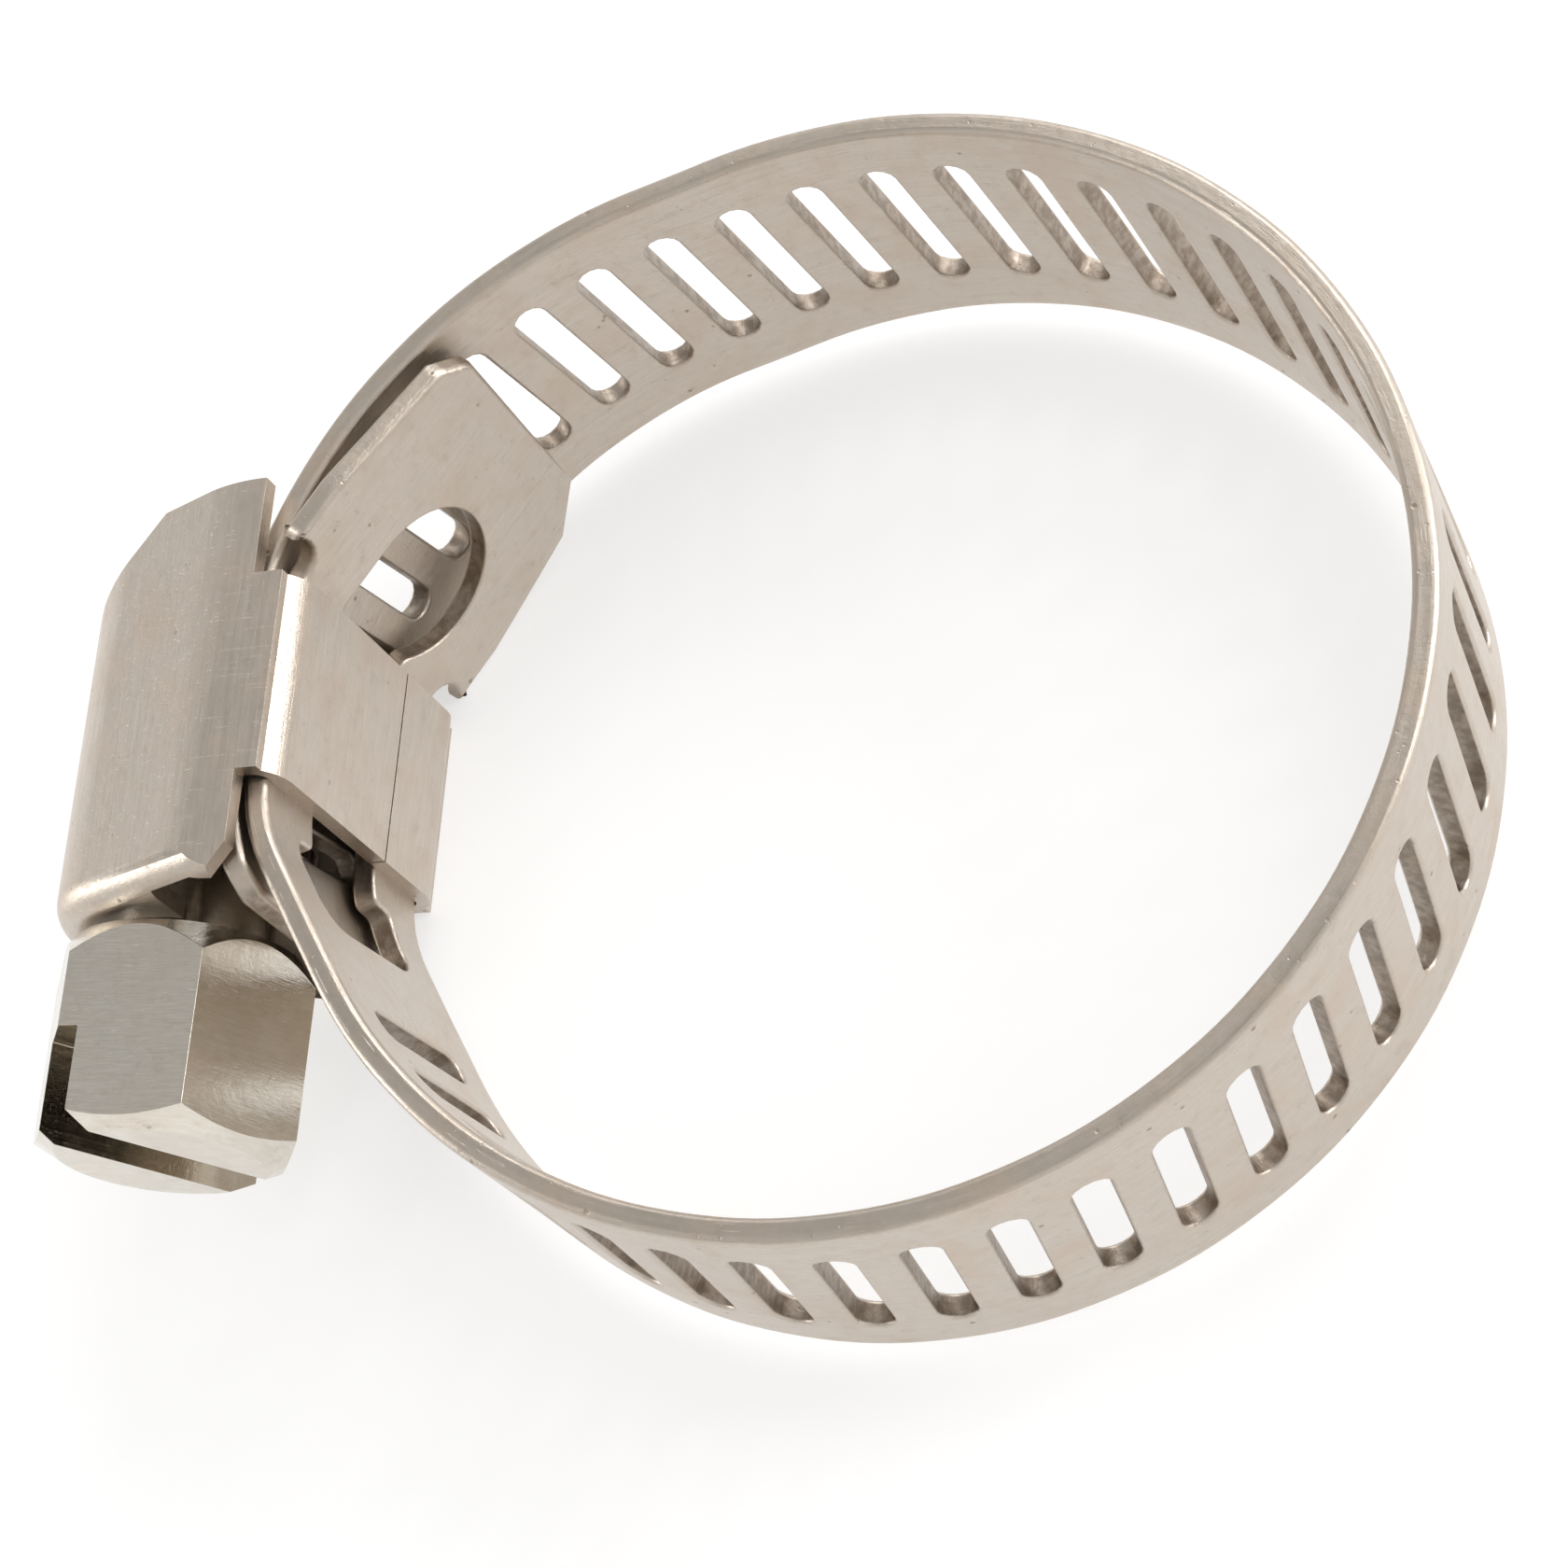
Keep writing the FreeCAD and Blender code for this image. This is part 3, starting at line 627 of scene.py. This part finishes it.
    b0 = tuple(base) + (1,)
    dark = (base[0] * 0.80, base[1] * 0.77, base[2] * 0.73, 1)
    light = (min(1, base[0] * 1.10), min(1, base[1] * 1.10), min(1, base[2] * 1.12), 1)
    tint = (base[0] * 1.02, base[1] * 0.94, base[2] * (0.93 - 0.10 * warm), 1)
    col = mix(ramp(lines, 0.35, 0.68), b0, light)
    col = mix(ramp(blotch, 0.45, 0.72, 0.0, 0.55), col, tint)
    col = mix(ramp(mottle, 0.50, 0.75, 0.0, 0.35), col, dark)
    col = mix(math_("MULTIPLY", pit, 0.55 * pits), col, (base[0] * 0.35, base[1] * 0.30, base[2] * 0.25, 1))
    col = mix(math_("MULTIPLY", pit2, 0.35 * pits), col, (base[0] * 0.5, base[1] * 0.45, base[2] * 0.4, 1))
    if wall:
        r = new("ShaderNodeAttribute", attribute_name="rim")
        zz = new("ShaderNodeSeparateXYZ")
        K.new(vec, zz.inputs[0])
        # painted shade: the punched walls of the slots, window and ends are painted darker and browner, as shade in the
        # holes; the rolled long edges stay bright
        long_edge = ramp(math_("ABSOLUTE", zz.outputs["Z"], 0.0), 3.3, 3.6, 1.0, 0.15)
        wallf = math_("MULTIPLY", ramp(r.outputs["Fac"], 0.72, 1.0), long_edge)
        edge_n = ramp(noise(mapping((1, 1, 1)), 3.5, 4, 0.6), 0.35, 0.65, 0.45, 1.0)
        # mix towards a dark brown, varied by edge_n: the painted shade on the punched walls
        col = mix(math_("MULTIPLY", wallf, math_("MULTIPLY", edge_n, 0.72)), col, (base[0] * 0.34, base[1] * 0.28, base[2] * 0.235, 1))
    K.new(col, bs.inputs["Base Color"])
    bs.inputs["Metallic"].default_value = 1.0
    ro = math_("ADD", ramp(lines2, 0.3, 0.7, rough - 0.05, rough + 0.07), ramp(blotch, 0.4, 0.7, -0.03, 0.05))
    ro = math_("ADD", ro, math_("MULTIPLY", pit, 0.25))
    ro = math_("ADD", ro, math_("MULTIPLY", scratch, 0.06 * (1 - polish)))
    if wall:
        ro = math_("ADD", ro, math_("MULTIPLY", wallf, 0.12))
    K.new(ro, bs.inputs["Roughness"])
    # relief
    h = math_("MULTIPLY", lines, 0.9 * (1 - polish))
    h = math_("ADD", h, math_("MULTIPLY", lines2, 0.5 * (1 - polish)))
    h = math_("ADD", h, math_("MULTIPLY", blotch, 1.6))
    h = math_("ADD", h, math_("MULTIPLY", mottle, 0.7 * (1 - 0.6 * polish)))
    h = math_("ADD", h, math_("MULTIPLY", grain, 0.35 * (1 - polish)))
    h = math_("SUBTRACT", h, math_("MULTIPLY", pit, 1.3 * pits))
    h = math_("SUBTRACT", h, math_("MULTIPLY", pit2, 0.8 * pits))
    h = math_("SUBTRACT", h, math_("MULTIPLY", scratch, 0.35 * (1 - polish)))
    bp = new("ShaderNodeBump")
    bp.inputs["Strength"].default_value = 0.55
    bp.inputs["Distance"].default_value = 0.000022
    K.new(h, bp.inputs["Height"])
    K.new(bp.outputs[0], bs.inputs["Normal"])
    return m


BASE = (0.555, 0.492, 0.422)
m_band = steel("satin_strip_steel", BASE, 0.33, "strip", pits=1.0)
m_house = steel("pressed_sheet_steel", BASE, 0.34, "housing", pits=0.6, wall=False, warm=0.3)
m_screw = steel("turned_screw_steel", (0.66, 0.62, 0.545), 0.10, "screw", polish=0.75, pits=0.25, wall=False, warm=0.2)
for o, m in ((band_lower, m_band), (band_upper, m_band), (housing, m_house), (screw, m_screw)):
    o.data.materials.clear()
    o.data.materials.append(m)
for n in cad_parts.values():
    for s in n.material_slots:
        s.material = m_band

# ---------------------------------------------------------------- riding
HB, HT = pol(R_IN, HINGE_BOTTOM), pol(R_IN, HINGE_TOP)
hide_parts("band_fixed_end", "band_loop")
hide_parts("band_free_end")
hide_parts("housing")
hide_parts("worm_screw")
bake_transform(band_lower, "root", "loop", start=((HB[0] - 2.2) * MM, HB[1] * MM, 0), end=((HB[0] + 2.2) * MM, HB[1] * MM, 0))
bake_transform(band_upper, "loop", "free_end", start=((HT[0] + 2.2) * MM, HT[1] * MM, 0), end=((HT[0] - 2.2) * MM, HT[1] * MM, 0))
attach(housing, "root")
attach(screw, "screw")

# ---------------------------------------------------------------- floor, light, camera
FLOOR = -4.66 * MM
bpy.ops.mesh.primitive_plane_add(size=3.0, location=(0, 0, FLOOR))
floor = bpy.context.object
floor.name = "floor"
fm = bpy.data.materials.new("pale_floor")
t, N, K = nodes_of(fm)
o_ = N.new("ShaderNodeOutputMaterial")
b_ = N.new("ShaderNodeBsdfPrincipled")
b_.inputs["Base Color"].default_value = (0.52, 0.52, 0.52, 1)
b_.inputs["Roughness"].default_value = 0.9
b_.inputs["Specular IOR Level"].default_value = 0.1
b_.inputs["Emission Color"].default_value = (1, 1, 1, 1)
b_.inputs["Emission Strength"].default_value = 0.58
K.new(b_.outputs[0], o_.inputs[0])
floor.data.materials.append(fm)

world = bpy.data.worlds.new("studio")
bpy.context.scene.world = world
world.use_nodes = True
t = world.node_tree
N, K = t.nodes, t.links
N.clear()
wo = N.new("ShaderNodeOutputWorld")
bg = N.new("ShaderNodeBackground")
tc = N.new("ShaderNodeTexCoord")
sp = N.new("ShaderNodeSeparateXYZ")
cr = N.new("ShaderNodeValToRGB")
K.new(tc.outputs["Generated"], sp.inputs[0])
mr = N.new("ShaderNodeMapRange")
mr.inputs["From Min"].default_value = -1
mr.inputs["From Max"].default_value = 1
K.new(sp.outputs["Z"], mr.inputs["Value"])
K.new(mr.outputs[0], cr.inputs[0])
e = cr.color_ramp.elements
e[0].position = 0.0
e[0].color = (0.7, 0.7, 0.7, 1)
e[1].position = 1.0
e[1].color = (0.84, 0.835, 0.825, 1)
for p, v in ((0.50, 0.50), (0.56, 0.72), (0.70, 0.95)):
    q = e.new(p)
    q.color = (v, v * 0.99, v * 0.975, 1)
# the room is not even: broad lighter and darker patches
nz = N.new("ShaderNodeTexNoise")
nz.inputs["Scale"].default_value = 1.5
nz.inputs["Detail"].default_value = 1.5
K.new(tc.outputs["Generated"], nz.inputs["Vector"])
nr = N.new("ShaderNodeMapRange")
nr.inputs["From Min"].default_value = 0.32
nr.inputs["From Max"].default_value = 0.68
nr.inputs["To Min"].default_value = 0.62
nr.inputs["To Max"].default_value = 1.16
K.new(nz.outputs["Fac"], nr.inputs["Value"])
mm = N.new("ShaderNodeMix")
mm.data_type = "RGBA"
mm.blend_type = "MULTIPLY"
mm.inputs[0].default_value = 1.0
K.new(cr.outputs[0], mm.inputs[6])
K.new(nr.outputs[0], mm.inputs[7])
K.new(mm.outputs[2], bg.inputs[0])
bg.inputs["Strength"].default_value = 0.92
K.new(bg.outputs[0], wo.inputs[0])


def area(name, loc, target, size, power, size_y=None, colour=(1, 1, 1)):
    l = bpy.data.lights.new(name, "AREA")
    l.energy = power
    l.shape = "RECTANGLE"
    l.size = size
    l.size_y = size_y or size
    l.color = colour
    o = bpy.data.objects.new(name, l)
    bpy.context.collection.objects.link(o)
    o.location = loc
    d = Vector(target) - Vector(loc)
    o.rotation_euler = d.to_track_quat("-Z", "Y").to_euler()
    return o


area("key", (0.06, 0.30, 0.26), (0, 0, 0), 0.22, 0.45)
area("fill", (0.27, 0.12, 0.11), (-0.012, 0, 0), 0.15, 0.55)
area("side", (-0.30, -0.04, 0.08), (-0.01, 0, 0), 0.12, 0.20)

cam = bpy.data.cameras.new("camera")
cam.lens = 84.515
cam.sensor_width = 36.0
cam.clip_start = 0.001
cam.clip_end = 10
co = bpy.data.objects.new("camera", cam)
bpy.context.collection.objects.link(co)
co.matrix_world = Matrix((
    (0.93525668, 0.07461287, 0.34601713, 26.904 * MM),
    (0.07044864, 0.91873985, -0.38852809, -34.175 * MM),
    (-0.34688892, 0.38774993, 0.85400121, 71.860 * MM),
    (0, 0, 0, 1)))
bpy.context.scene.camera = co
bpy.context.scene.view_settings.view_transform = "Standard"
